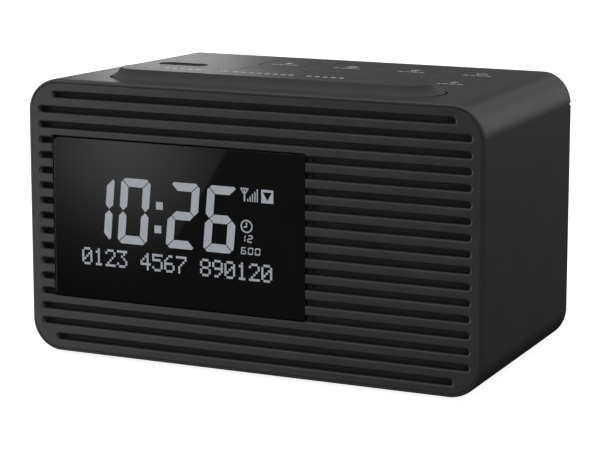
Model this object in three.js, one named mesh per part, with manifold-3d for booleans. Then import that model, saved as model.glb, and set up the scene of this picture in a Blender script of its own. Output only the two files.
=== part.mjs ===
// Tabletop clock radio: tapered sleeve cabinet, slotted front grille, display window,
// raised snooze bar and eight flush keys. Millimetres, +X right, +Y to the rear, +Z up.
// The origin is on the surface the radio stands on, under the middle of its box.

import * as THREE from 'three';
import { mergeVertices } from 'three/addons/utils/BufferGeometryUtils.js';
import Module from 'manifold-3d';

const wasm = await Module();
wasm.setup();

// ---- Driving dimensions ----

const FRONT_WIDTH = 180.6;
const REAR_WIDTH = 168.6;
const BODY_HEIGHT = 102.1;
const DEPTH = 103;
const CORNER_RADIUS = 12;
const EDGE_ROUND = { along: 2.5, in: 1 };
const WALL = 2.4;
const RIM_WALL = 1.2;
const REAR_RIM_WALL = 1.4;
const GAP = 0.3;

const FOOT = { drop: 1.2, sunk: 0.8, radius: 7, frontX: 68, rearX: 62, y: 36 };

const Y_FRONT = -DEPTH / 2;
const Y_REAR = DEPTH / 2;
const Z_BOTTOM = FOOT.drop;
const Z_TOP = Z_BOTTOM + BODY_HEIGHT;
const Z_MID = (Z_BOTTOM + Z_TOP) / 2;
const Z_FLOOR = Z_BOTTOM + WALL;
const Z_CEILING = Z_TOP - WALL;

const SLOT = { count: 17, pitch: 5.68, height: 2.6, fromTop: 5.75, halfLength: 86, endHalfLength: 80 };
const PANEL = { thickness: 2.6, clothThickness: 0.4, baffleThickness: 2.6 };
const PANEL_INSET = RIM_WALL + GAP;
const Y_GRILLE_BACK = Y_FRONT + PANEL.thickness;
const Y_CLOTH = Y_GRILLE_BACK + GAP;
const Y_BAFFLE = Y_CLOTH + PANEL.clothThickness + GAP;
const Y_BAFFLE_BACK = Y_BAFFLE + PANEL.baffleThickness;
const Y_FRONT_STEP = Y_BAFFLE_BACK + GAP;

const SCREEN = { left: -79.9, right: 23.1, low: Z_BOTTOM + 21.6, high: Z_BOTTOM + 80.9, radius: 3 };
const SCREEN_FACE = { recess: 0.3, thickness: 1.8 };
const VIEW = { left: -73, right: 14, low: Z_BOTTOM + 30.2, high: Z_BOTTOM + 71.8 };
const DISPLAY = { frameDepth: 9, lip: 1.8, glass: 2.2, light: 3 };

const SPEAKER = { x: 55.5, z: Z_MID, hole: 26.2, flange: 28.6, cone: 21.4, throat: 8, magnet: 20 };

const KEY = { width: 18.8, length: 20.8, radius: 3, pitch: 26.5, firstX: -23.3, travel: 0.6 };
const KEY_ROWS = [{ y: 3.9 }, { y: 30.9 }];
const KEY_NAMES = [
  ['alarm_1_button', 'alarm_2_button', 'minus_button', 'plus_button'],
  ['source_button', 'menu_button', 'sleep_button', 'power_button'],
];
const SNOOZE = { spine: 53, y: -29, base: 12.7, top: 9.3, rise: 3.6, travel: 1, postX: 36 };
const LENS = { x: -59.5, y: 10.9, length: 20, width: 8, thickness: 1.6 };

const KEY_BOARD = { top: 92.3, thickness: 1.6, halfWidth: 76, front: -34.5, rear: 43.5 };
const SWITCH = { size: 6, height: 3.5, plunger: 1.7, plungerHeight: 1 };
const SWITCH_TOP = KEY_BOARD.top + SWITCH.height + SWITCH.plungerHeight;

const MAIN_BOARD = { left: -62, right: 62, front: -22, rear: 43, low: 11, thickness: 1.6 };
const MAIN_BOARD_TOP = MAIN_BOARD.low + MAIN_BOARD.thickness;
const JACK = { x: 40, width: 9, height: 11, front: 37, bore: 3.3, pin: 1, boreDepth: 9 };
const GLAND = { x: -40, z: 66, bore: 1.3, neck: 3, flange: 4.6, flangeDepth: 1.1 };

const COVER = { thickness: 2.5, lipDepth: 3, lipWall: 1.5 };
const Y_COVER = Y_REAR - COVER.thickness;
const Y_REAR_STEP = Y_COVER - GAP;
const VENT = { count: 6, pitch: 6, height: 2, halfLength: 24, lowest: Z_MID + 8 };

// ---- Materials ----

function plastic(color, roughness) {
  return new THREE.MeshStandardMaterial({ color, roughness, metalness: 0 });
}

function metal(color, roughness) {
  return new THREE.MeshStandardMaterial({ color, roughness, metalness: 1 });
}

const MATERIALS = {
  casePlastic: plastic(0x2a2a2b, 0.5),
  grillePlastic: plastic(0x2c2c2d, 0.55),
  keyPlastic: plastic(0x2b2b2c, 0.45),
  cloth: plastic(0x0c0c0d, 0.95),
  smokedWindow: plastic(0x050506, 0.06),
  innerPlastic: plastic(0x161617, 0.6),
  glass: plastic(0x1a1f24, 0.1),
  lightGuide: plastic(0xdfe4e6, 0.4),
  circuitBoard: plastic(0x1f5a34, 0.5),
  switchBody: plastic(0x1c1c1e, 0.5),
  tinned: metal(0xb9bcc0, 0.35),
  steel: metal(0x8f9194, 0.35),
  ferrite: plastic(0x2b2a2c, 0.7),
  paper: plastic(0x1b1a19, 0.9),
  rubber: plastic(0x121213, 0.85),
  foam: plastic(0x1e1e20, 0.95),
  ribbon: plastic(0xb7b9bd, 0.55),
  redWire: plastic(0x8d1f1c, 0.5),
};

// ---- Solids ----

function solid(geometry) {
  const bare = geometry.clone();
  bare.deleteAttribute('normal');
  bare.deleteAttribute('uv');
  const merged = mergeVertices(bare, 1e-4);
  const corners = merged.index.array;
  const kept = [];
  for (let i = 0; i < corners.length; i += 3) {
    const [a, b, c] = corners.subarray(i, i + 3);
    if (a !== b && b !== c && c !== a) {
      kept.push(a, b, c);
    }
  }
  const mesh = new wasm.Mesh({
    numProp: 3,
    vertProperties: new Float32Array(merged.attributes.position.array),
    triVerts: new Uint32Array(kept),
  });
  return new wasm.Manifold(mesh);
}

function join(solids) {
  return solids.reduce((whole, next) => whole.add(next));
}

function cut(whole, tools) {
  return tools.reduce((left, tool) => left.subtract(tool), whole);
}

function geometryOf(body) {
  const mesh = body.getMesh();
  const geometry = new THREE.BufferGeometry();
  geometry.setAttribute('position', new THREE.BufferAttribute(mesh.vertProperties, 3));
  geometry.setIndex(new THREE.BufferAttribute(mesh.triVerts, 1));
  geometry.computeVertexNormals();
  return geometry;
}

function block(x, y, z) {
  const geometry = new THREE.BoxGeometry(x[1] - x[0], y[1] - y[0], z[1] - z[0]);
  geometry.translate((x[0] + x[1]) / 2, (y[0] + y[1]) / 2, (z[0] + z[1]) / 2);
  return solid(geometry);
}

function roundedOutline(left, right, low, high, radius) {
  const outline = new THREE.Shape();
  outline.moveTo(left + radius, low);
  outline.lineTo(right - radius, low);
  outline.absarc(right - radius, low + radius, radius, -Math.PI / 2, 0);
  outline.lineTo(right, high - radius);
  outline.absarc(right - radius, high - radius, radius, 0, Math.PI / 2);
  outline.lineTo(left + radius, high);
  outline.absarc(left + radius, high - radius, radius, Math.PI / 2, Math.PI);
  outline.lineTo(left, low + radius);
  outline.absarc(left + radius, low + radius, radius, Math.PI, Math.PI * 1.5);
  return outline;
}

function extrude(outline, depth, segments, options = {}) {
  return new THREE.ExtrudeGeometry(outline, {
    depth,
    bevelEnabled: false,
    curveSegments: segments,
    ...options,
  });
}

function uprightPlate(outline, y, segments = 3) {
  const geometry = extrude(outline, y[1] - y[0], segments);
  return geometry.rotateX(Math.PI / 2).translate(0, y[1], 0);
}

function plateAlongY(outline, y, segments) {
  return solid(uprightPlate(outline, y, segments));
}

function plateAlongZ(outline, z, segments = 2) {
  return solid(extrude(outline, z[1] - z[0], segments).translate(0, 0, z[0]));
}

function rodAlongY(x, z, radius, y, sides = 12) {
  const geometry = new THREE.CylinderGeometry(radius, radius, y[1] - y[0], sides);
  return solid(geometry.translate(x, (y[0] + y[1]) / 2, z));
}

function rodAlongZ(x, y, radius, z, sides = 12) {
  const geometry = new THREE.CylinderGeometry(radius, radius, z[1] - z[0], sides);
  return solid(geometry.rotateX(Math.PI / 2).translate(x, y, (z[0] + z[1]) / 2));
}

function turnedAlongY(profile, x, z, sides = 20) {
  const points = profile.map(([radius, y]) => new THREE.Vector2(radius, y));
  return solid(new THREE.LatheGeometry(points, sides).translate(x, 0, z));
}

// ---- Case form: a rounded box that narrows towards the rear ----

function narrowing(y) {
  return 1 - (1 - REAR_WIDTH / FRONT_WIDTH) * (y - Y_FRONT) / DEPTH;
}

function taper(geometry) {
  const position = geometry.attributes.position;
  for (let i = 0; i < position.count; i += 1) {
    position.setX(i, position.getX(i) * narrowing(position.getY(i)));
  }
  return geometry;
}

function caseOutline(inset) {
  const half = FRONT_WIDTH / 2 - inset;
  return roundedOutline(-half, half, Z_BOTTOM + inset, Z_TOP - inset, CORNER_RADIUS - inset);
}

function caseBlock(inset, y) {
  return solid(taper(uprightPlate(caseOutline(inset), y)));
}

function caseSkin() {
  const geometry = extrude(caseOutline(0), DEPTH - 2 * EDGE_ROUND.along, 4, {
    bevelEnabled: true,
    bevelThickness: EDGE_ROUND.along,
    bevelSize: EDGE_ROUND.in,
    bevelOffset: -EDGE_ROUND.in,
    bevelSegments: 2,
  });
  geometry.rotateX(Math.PI / 2).translate(0, Y_REAR - EDGE_ROUND.along, 0);
  return solid(taper(geometry));
}

// ---- Fasteners: a round head and a plain shank ----

function screwAlongY(spot, size, headY, tipY) {
  const headEnd = headY + Math.sign(tipY - headY) * size.headDepth;
  const head = [Math.min(headY, headEnd), Math.max(headY, headEnd)];
  const shank = [Math.min(headEnd, tipY) - 0.01, Math.max(headEnd, tipY) + 0.01];
  return rodAlongY(spot.x, spot.z, size.head, head, 8).add(rodAlongY(spot.x, spot.z, size.shank, shank, 6));
}

function screwAlongZ(spot, size, headZ, tipZ) {
  const headEnd = headZ + Math.sign(tipZ - headZ) * size.headDepth;
  const head = [Math.min(headZ, headEnd), Math.max(headZ, headEnd)];
  const shank = [Math.min(headEnd, tipZ) - 0.01, Math.max(headEnd, tipZ) + 0.01];
  return rodAlongZ(spot.x, spot.y, size.head, head, 8).add(rodAlongZ(spot.x, spot.y, size.shank, shank, 6));
}

function mirroredX(spots) {
  return spots.flatMap((spot) => [spot, { ...spot, x: -spot.x }]);
}

const SMALL_SCREW = { head: 2, headDepth: 1.2, shank: 0.75, clear: 1.05 };
const SCREW = { head: 2.3, headDepth: 1.2, shank: 1, clear: 1.3 };
const CASE_SCREW = { head: 2.8, headDepth: 1.5, shank: 1.2, clear: 1.5 };

const GRILLE_SCREW_SPOTS = mirroredX([{ x: 82.8, z: Z_TOP - 7.5 }, { x: 82.8, z: Z_BOTTOM + 7.2 }]);
const BAFFLE_SCREW_SPOTS = mirroredX([{ x: 74, z: Z_TOP - 10 }, { x: 60, z: Z_BOTTOM + 9 }]);
const COVER_SCREW_SPOTS = mirroredX([{ x: 70, z: Z_MID + 30 }, { x: 70, z: Z_MID - 30 }]);
const MAIN_BOARD_SCREW_SPOTS = mirroredX([{ x: 54, y: -16 }, { x: 54, y: 33 }]);
const KEY_BOARD_SCREW_SPOTS = mirroredX([{ x: 72, y: -30.5 }, { x: 72, y: 38.5 }]);

// ---- Cabinet sleeve ----

const BAFFLE_POST = { radius: 3.2, end: -38 };
const COVER_POST = { radius: 3.6, start: 34.5, webEnd: 45 };
const BOARD_POST = { radius: 3 };
const KEY_BOARD_POST = { radius: 2.8 };
const WEB = 2.4;
const PRY_NOTCH = { z: Z_BOTTOM + 90.3, height: 0.9, depth: 0.7, length: 5 };

function keyOutline(x, y, grow) {
  const halfWidth = KEY.width / 2 + grow;
  const halfLength = KEY.length / 2 + grow;
  return roundedOutline(x - halfWidth, x + halfWidth, y - halfLength, y + halfLength, KEY.radius + grow);
}

function pillOutline(x, y, halfLength, halfWidth) {
  return roundedOutline(x - halfLength, x + halfLength, y - halfWidth, y + halfWidth, halfWidth);
}

function snoozeOutline(grow) {
  return pillOutline(0, SNOOZE.y, SNOOZE.spine + SNOOZE.base + grow, SNOOZE.base + grow);
}

function lensOutline(grow) {
  return pillOutline(LENS.x, LENS.y, LENS.length / 2 + grow, LENS.width / 2 + grow);
}

const KEY_PLACES = KEY_ROWS.flatMap((row, rowIndex) => KEY_NAMES[rowIndex].map((name, column) => ({
  name,
  x: KEY.firstX + column * KEY.pitch,
  y: row.y,
})));

const FOOT_PLACES = [
  { name: 'foot_front_left', x: -FOOT.frontX, y: -FOOT.y },
  { name: 'foot_front_right', x: FOOT.frontX, y: -FOOT.y },
  { name: 'foot_rear_left', x: -FOOT.rearX, y: FOOT.y },
  { name: 'foot_rear_right', x: FOOT.rearX, y: FOOT.y },
];

function cabinetPosts() {
  const posts = [];
  for (const { x, z } of BAFFLE_SCREW_SPOTS) {
    const wallZ = z > Z_MID ? [z, Z_CEILING + 1] : [Z_FLOOR - 1, z];
    posts.push(rodAlongY(x, z, BAFFLE_POST.radius, [Y_FRONT_STEP, BAFFLE_POST.end], 8));
    posts.push(block([x - WEB / 2, x + WEB / 2], [Y_FRONT_STEP, BAFFLE_POST.end], wallZ));
  }
  for (const { x, z } of COVER_SCREW_SPOTS) {
    const wallX = Math.sign(x) * (FRONT_WIDTH / 2 * narrowing(COVER_POST.webEnd) - WALL / 2);
    const webX = [Math.min(x, wallX), Math.max(x, wallX)];
    posts.push(rodAlongY(x, z, COVER_POST.radius, [COVER_POST.start, Y_REAR_STEP], 8));
    posts.push(block(webX, [COVER_POST.start, COVER_POST.webEnd], [z - WEB / 2, z + WEB / 2]));
  }
  for (const { x, y } of MAIN_BOARD_SCREW_SPOTS) {
    posts.push(rodAlongZ(x, y, BOARD_POST.radius, [Z_FLOOR - 1, MAIN_BOARD.low - GAP], 8));
  }
  for (const { x, y } of KEY_BOARD_SCREW_SPOTS) {
    posts.push(rodAlongZ(x, y, KEY_BOARD_POST.radius, [KEY_BOARD.top + GAP, Z_CEILING + 1], 8));
  }
  return posts;
}

function cabinetPilotHoles() {
  const holes = [];
  for (const { x, z } of BAFFLE_SCREW_SPOTS) {
    holes.push(rodAlongY(x, z, SCREW.clear, [Y_FRONT_STEP - 1, BAFFLE_POST.end - 1], 6));
  }
  for (const { x, z } of COVER_SCREW_SPOTS) {
    holes.push(rodAlongY(x, z, CASE_SCREW.clear, [COVER_POST.start + 2, Y_REAR_STEP + 1], 6));
  }
  for (const { x, y } of MAIN_BOARD_SCREW_SPOTS) {
    holes.push(rodAlongZ(x, y, SCREW.clear, [Z_FLOOR + 1, MAIN_BOARD.low], 6));
  }
  for (const { x, y } of KEY_BOARD_SCREW_SPOTS) {
    holes.push(rodAlongZ(x, y, SCREW.clear, [KEY_BOARD.top, Z_CEILING - 1], 6));
  }
  return holes;
}

function pryNotches() {
  const halfWidth = REAR_WIDTH / 2;
  const z = [PRY_NOTCH.z - PRY_NOTCH.height / 2, PRY_NOTCH.z + PRY_NOTCH.height / 2];
  const y = [Y_REAR - PRY_NOTCH.length, Y_REAR + 1];
  return [
    block([halfWidth - PRY_NOTCH.depth, halfWidth + 3], y, z),
    block([-halfWidth - 3, -halfWidth + PRY_NOTCH.depth], y, z),
  ];
}

function cabinet() {
  const sleeve = cut(caseSkin(), [
    caseBlock(RIM_WALL, [Y_FRONT - 1, Y_FRONT_STEP]),
    caseBlock(WALL, [Y_FRONT_STEP - 0.5, Y_REAR_STEP + 0.5]),
    caseBlock(REAR_RIM_WALL, [Y_REAR_STEP, Y_REAR + 1]),
  ]);
  const through = [Z_CEILING - 1, Z_TOP + 1];
  const keyHoles = KEY_PLACES.map(({ x, y }) => plateAlongZ(keyOutline(x, y, GAP), through, 1));
  const footRecesses = FOOT_PLACES.map(({ x, y }) => (
    rodAlongZ(x, y, FOOT.radius + GAP, [Z_BOTTOM - 1, Z_BOTTOM + FOOT.sunk + GAP], 16)
  ));
  return cut(join([sleeve, ...cabinetPosts()]), [
    ...cabinetPilotHoles(),
    ...keyHoles,
    ...footRecesses,
    ...pryNotches(),
    plateAlongZ(snoozeOutline(GAP), through, 4),
    plateAlongZ(lensOutline(GAP), through),
  ]);
}

// ---- Front panel: slotted grille, cloth and baffle ----

const GRILLE_BOSS = { radius: 1.8 };
const CUTOUT = {
  left: SCREEN.left - 0.5,
  right: SCREEN.right + GAP,
  low: SCREEN.low - 0.5,
  high: SCREEN.high + 0.4,
};
const SCREEN_RIB = { width: 1.6, recess: 1.5 };

function slotHeights() {
  const first = Z_TOP - SLOT.fromTop;
  return Array.from({ length: SLOT.count }, (_, index) => first - index * SLOT.pitch);
}

function slotTools() {
  return slotHeights().map((z, index) => {
    const isEnd = index === 0 || index === SLOT.count - 1;
    const half = isEnd ? SLOT.endHalfLength : SLOT.halfLength;
    const outline = pillOutline(0, z, half, SLOT.height / 2);
    return plateAlongY(outline, [Y_FRONT - 1, Y_GRILLE_BACK + 1], 1);
  });
}

function frontGrille() {
  const screenHole = roundedOutline(CUTOUT.left, CUTOUT.right, CUTOUT.low, CUTOUT.high, 0.4);
  const slotted = cut(caseBlock(PANEL_INSET, [Y_FRONT, Y_GRILLE_BACK]), [
    ...slotTools(),
    plateAlongY(screenHole, [Y_FRONT - 1, Y_GRILLE_BACK + 1], 1),
  ]);
  const ribX = [CUTOUT.right, CUTOUT.right + SCREEN_RIB.width];
  const rib = block(ribX, [Y_FRONT + SCREEN_RIB.recess, Y_GRILLE_BACK], [CUTOUT.low, CUTOUT.high]);
  const bosses = GRILLE_SCREW_SPOTS.map(({ x, z }) => (
    rodAlongY(x, z, GRILLE_BOSS.radius, [Y_GRILLE_BACK - 0.5, Y_BAFFLE - GAP], 10)
  ));
  const pilots = GRILLE_SCREW_SPOTS.map(({ x, z }) => (
    rodAlongY(x, z, SMALL_SCREW.clear, [Y_FRONT + 1.4, Y_BAFFLE], 8)
  ));
  return cut(join([slotted, rib, ...bosses]), pilots);
}

function frameOutline(grow) {
  const inset = 0.6 - grow;
  return roundedOutline(
    SCREEN.left + inset,
    SCREEN.right - inset,
    SCREEN.low + inset,
    SCREEN.high - inset,
    SCREEN.radius,
  );
}

function grilleCloth() {
  const sheet = caseBlock(PANEL_INSET + 0.5, [Y_CLOTH, Y_CLOTH + PANEL.clothThickness]);
  const holes = GRILLE_SCREW_SPOTS.map(({ x, z }) => (
    rodAlongY(x, z, GRILLE_BOSS.radius + GAP, [Y_CLOTH - 1, Y_BAFFLE], 10)
  ));
  return cut(sheet, [...holes, plateAlongY(frameOutline(GAP), [Y_CLOTH - 1, Y_BAFFLE], 1)]);
}

function baffle() {
  const through = [Y_BAFFLE - 1, Y_BAFFLE_BACK + 1];
  const small = GRILLE_SCREW_SPOTS.map(({ x, z }) => rodAlongY(x, z, SMALL_SCREW.clear, through, 8));
  const large = BAFFLE_SCREW_SPOTS.map(({ x, z }) => rodAlongY(x, z, SCREW.clear, through, 8));
  const sinks = BAFFLE_SCREW_SPOTS.map(({ x, z }) => (
    rodAlongY(x, z, SCREW.head + GAP, [Y_BAFFLE - 1, Y_BAFFLE + SCREW.headDepth + GAP], 12)
  ));
  return cut(caseBlock(PANEL_INSET, [Y_BAFFLE, Y_BAFFLE_BACK]), [
    ...small,
    ...large,
    ...sinks,
    plateAlongY(frameOutline(GAP), through, 1),
    rodAlongY(SPEAKER.x, SPEAKER.z, SPEAKER.hole, through, 24),
  ]);
}

// ---- Display: window pane, frame, LCD glass and its light ----

const Y_PANE = Y_FRONT + SCREEN_FACE.recess;
const Y_FRAME = Y_PANE + SCREEN_FACE.thickness + GAP;
const Y_FRAME_BACK = Y_FRAME + DISPLAY.frameDepth;
const Y_LCD = Y_FRAME + DISPLAY.lip + GAP;
const Y_LIGHT = Y_LCD + DISPLAY.glass + GAP;
const LCD_MARGIN = 3;

function viewOutline(grow) {
  return roundedOutline(VIEW.left - grow, VIEW.right + grow, VIEW.low - grow, VIEW.high + grow, 0.6);
}

function displayWindow() {
  const outline = roundedOutline(SCREEN.left, SCREEN.right, SCREEN.low, SCREEN.high, SCREEN.radius);
  return plateAlongY(outline, [Y_PANE, Y_PANE + SCREEN_FACE.thickness], 2);
}

function displayFrame() {
  return cut(plateAlongY(frameOutline(0), [Y_FRAME, Y_FRAME_BACK], 1), [
    plateAlongY(viewOutline(0), [Y_FRAME - 1, Y_FRAME_BACK], 1),
    plateAlongY(viewOutline(LCD_MARGIN + GAP), [Y_FRAME + DISPLAY.lip, Y_FRAME_BACK + 1], 1),
  ]);
}

function lcdPanel() {
  return plateAlongY(viewOutline(LCD_MARGIN), [Y_LCD, Y_LCD + DISPLAY.glass], 1);
}

function backlight() {
  return plateAlongY(viewOutline(LCD_MARGIN), [Y_LIGHT, Y_LIGHT + DISPLAY.light], 1);
}

// ---- Keys, snooze bar and sensor lens ----

const FLANGE = { grow: 1.2, low: Z_CEILING - 1.6, high: Z_CEILING - GAP };
const STEM_RADIUS = 2;

function key(x, y) {
  const stemEnd = SWITCH_TOP + GAP + KEY.travel;
  return join([
    plateAlongZ(keyOutline(x, y, 0), [FLANGE.low + 0.2, Z_TOP], 1),
    plateAlongZ(keyOutline(x, y, FLANGE.grow), [FLANGE.low, FLANGE.high], 1),
    rodAlongZ(x, y, STEM_RADIUS, [stemEnd, FLANGE.low + 0.5], 8),
  ]);
}

function slopedPill() {
  const geometry = extrude(snoozeOutline(0), SNOOZE.rise, 4).translate(0, 0, Z_TOP);
  const position = geometry.attributes.position;
  const shrink = SNOOZE.top / SNOOZE.base;
  for (let i = 0; i < position.count; i += 1) {
    if (position.getZ(i) > Z_TOP + SNOOZE.rise / 2) {
      const x = position.getX(i);
      const spineX = THREE.MathUtils.clamp(x, -SNOOZE.spine, SNOOZE.spine);
      position.setX(i, spineX + (x - spineX) * shrink);
      position.setY(i, SNOOZE.y + (position.getY(i) - SNOOZE.y) * shrink);
    }
  }
  return solid(geometry);
}

function snoozeBar() {
  const stemEnd = SWITCH_TOP + GAP + SNOOZE.travel;
  const stems = [-SNOOZE.postX, SNOOZE.postX].map((x) => (
    rodAlongZ(x, SNOOZE.y, STEM_RADIUS + 1, [stemEnd, FLANGE.low + 0.5], 10)
  ));
  return join([
    slopedPill(),
    plateAlongZ(snoozeOutline(0), [FLANGE.low + 0.2, Z_TOP + 0.01], 4),
    plateAlongZ(snoozeOutline(FLANGE.grow), [FLANGE.low, FLANGE.high], 2),
    ...stems,
  ]);
}

function sensorLens() {
  return join([
    plateAlongZ(lensOutline(0), [Z_CEILING - GAP - LENS.thickness, Z_TOP - GAP]),
    plateAlongZ(lensOutline(1), [Z_CEILING - GAP - LENS.thickness, Z_CEILING - GAP], 1),
  ]);
}

// ---- Key board, with the switches and the light sensor soldered on ----

function tactSwitch({ x, y }) {
  const half = SWITCH.size / 2;
  const bodyTop = KEY_BOARD.top + SWITCH.height;
  const body = block([x - half, x + half], [y - half, y + half], [KEY_BOARD.top - 0.1, bodyTop]);
  return body.add(rodAlongZ(x, y, SWITCH.plunger, [bodyTop - 0.5, SWITCH_TOP], 8));
}

function lightSensor() {
  const z = [KEY_BOARD.top - 0.1, KEY_BOARD.top + 4.2];
  return block([LENS.x - 2.5, LENS.x + 2.5], [LENS.y - 2, LENS.y + 2], z);
}

function keyBoard() {
  const { halfWidth, front, rear, top, thickness } = KEY_BOARD;
  const outline = roundedOutline(-halfWidth, halfWidth, front, rear, 3);
  const board = plateAlongZ(outline, [top - thickness, top], 1);
  const holes = KEY_BOARD_SCREW_SPOTS.map(({ x, y }) => (
    rodAlongZ(x, y, SCREW.clear, [top - thickness - 1, top + 1], 8)
  ));
  const snoozeSpots = [-SNOOZE.postX, SNOOZE.postX].map((x) => ({ x, y: SNOOZE.y }));
  const switches = [...KEY_PLACES, ...snoozeSpots].map(tactSwitch);
  return join([cut(board, holes), ...switches, lightSensor()]);
}

// ---- Loudspeaker: turned pieces on one axis, facing the front ----

const Y_GASKET = Y_BAFFLE_BACK + GAP;
const Y_FLANGE = Y_GASKET + 0.6 + GAP;
const Y_MAGNET = Y_FLANGE + 19;
const Y_CONE_EDGE = Y_BAFFLE + 2.2;
const Y_CONE_THROAT = Y_CONE_EDGE + 10;
const COIL = { inner: 6.6, outer: 7.4, length: 9 };

function turnedOnSpeaker(profile, sides) {
  return turnedAlongY(profile, SPEAKER.x, SPEAKER.z, sides);
}

function speakerGasket() {
  return turnedOnSpeaker([
    [SPEAKER.hole, Y_GASKET], [SPEAKER.flange, Y_GASKET],
    [SPEAKER.flange, Y_GASKET + 0.6], [SPEAKER.hole, Y_GASKET + 0.6], [SPEAKER.hole, Y_GASKET],
  ]);
}

function speakerBasket() {
  const back = Y_MAGNET - GAP;
  return turnedOnSpeaker([
    [SPEAKER.cone + 1.6, Y_FLANGE], [SPEAKER.flange, Y_FLANGE],
    [SPEAKER.flange, Y_FLANGE + 1.4], [SPEAKER.cone + 4.2, Y_FLANGE + 1.4],
    [SPEAKER.magnet - 4, back], [COIL.outer + 1, back],
    [COIL.outer + 1, back - 1.4], [SPEAKER.magnet - 5, back - 1.4],
    [SPEAKER.cone + 2.6, Y_FLANGE + 1.6], [SPEAKER.cone + 1.6, Y_FLANGE],
  ]);
}

function speakerMagnet() {
  return turnedOnSpeaker([
    [COIL.outer + 1, Y_MAGNET], [SPEAKER.magnet, Y_MAGNET],
    [SPEAKER.magnet, Y_MAGNET + 10], [0, Y_MAGNET + 10],
    [0, Y_MAGNET - 2], [COIL.inner - 0.8, Y_MAGNET - 2],
    [COIL.inner - 0.8, Y_MAGNET + 7], [COIL.outer + 1, Y_MAGNET + 7],
    [COIL.outer + 1, Y_MAGNET],
  ]);
}

function surroundRoll() {
  const inner = SPEAKER.cone + GAP;
  const outer = SPEAKER.hole - GAP;
  const middle = (inner + outer) / 2;
  const radius = (outer - inner) / 2;
  const steps = 4;
  const roll = (size, from, to) => Array.from({ length: steps + 1 }, (_, index) => {
    const angle = THREE.MathUtils.lerp(from, to, index / steps);
    return [middle + size * Math.cos(angle), Y_CONE_EDGE + 0.4 - size * 0.7 * Math.sin(angle)];
  });
  const outside = roll(radius, Math.PI, 0);
  const inside = roll(radius - 0.6, 0, Math.PI);
  return turnedOnSpeaker([...outside, ...inside, outside[0]]);
}

function speakerCone() {
  return turnedOnSpeaker([
    [SPEAKER.throat, Y_CONE_THROAT], [SPEAKER.cone, Y_CONE_EDGE],
    [SPEAKER.cone, Y_CONE_EDGE + 0.7], [SPEAKER.throat, Y_CONE_THROAT + 0.7],
    [SPEAKER.throat, Y_CONE_THROAT],
  ]);
}

function dustCap() {
  const steps = 3;
  const rim = SPEAKER.throat + 1.4;
  const rise = 3.4;
  const base = Y_CONE_THROAT - 1.9;
  const dome = (shrink) => Array.from({ length: steps + 1 }, (_, index) => {
    const angle = index / steps * Math.PI / 2;
    return [(rim - shrink) * Math.cos(angle), base - (rise - shrink) * Math.sin(angle)];
  });
  return turnedOnSpeaker([...dome(0).reverse(), ...dome(0.6)], 16);
}

function voiceCoil() {
  const low = Y_CONE_THROAT + 0.7 + GAP;
  return turnedOnSpeaker([
    [COIL.inner, low], [COIL.outer, low],
    [COIL.outer, low + COIL.length], [COIL.inner, low + COIL.length], [COIL.inner, low],
  ], 16);
}

// ---- Main board, with its soldered parts, and the modules that stand on it ----

const HEADER = { height: 5 };

function solderedParts() {
  const z = (height) => [MAIN_BOARD_TOP - 0.1, MAIN_BOARD_TOP + height];
  const capacitorSpots = [{ x: 18, y: 20 }, { x: 18, y: 31 }, { x: 28, y: 2 }];
  return [
    ...capacitorSpots.map(({ x, y }) => rodAlongZ(x, y, 4, z(11), 16)),
    block([-50, -36], [36, 41], z(HEADER.height)),
    block([-40, -8], [-20, -16], z(HEADER.height)),
    block([42, 52], [-10, -5], z(HEADER.height)),
    block([20, 34], [-16, -8], z(2.4)),
  ];
}

function mainBoard() {
  const { left, right, front, rear, low } = MAIN_BOARD;
  const outline = roundedOutline(left, right, front, rear, 2);
  const holes = MAIN_BOARD_SCREW_SPOTS.map(({ x, y }) => (
    rodAlongZ(x, y, SCREW.clear, [low - 1, MAIN_BOARD_TOP + 1], 8)
  ));
  const board = cut(plateAlongZ(outline, [low, MAIN_BOARD_TOP], 1), holes);
  return join([board, ...solderedParts()]);
}

function tunerModule() {
  const low = MAIN_BOARD_TOP + GAP;
  const can = block([-34, 2], [8, 34], [low, low + 4.5]);
  const plinth = block([-36, 4], [6, 36], [low, low + 1.2]);
  return can.add(plinth);
}

function dcJack() {
  const low = MAIN_BOARD_TOP + GAP;
  const middle = low + JACK.height / 2;
  const front = Y_REAR - GAP;
  const half = JACK.width / 2;
  const body = block([JACK.x - half, JACK.x + half], [JACK.front, front], [low, low + JACK.height]);
  const bore = rodAlongY(JACK.x, middle, JACK.bore, [front - JACK.boreDepth, front + 1], 16);
  const pin = rodAlongY(JACK.x, middle, JACK.pin, [front - JACK.boreDepth - 0.5, front - 1.5], 8);
  return body.subtract(bore).add(pin);
}

// ---- Rear cover ----

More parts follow.
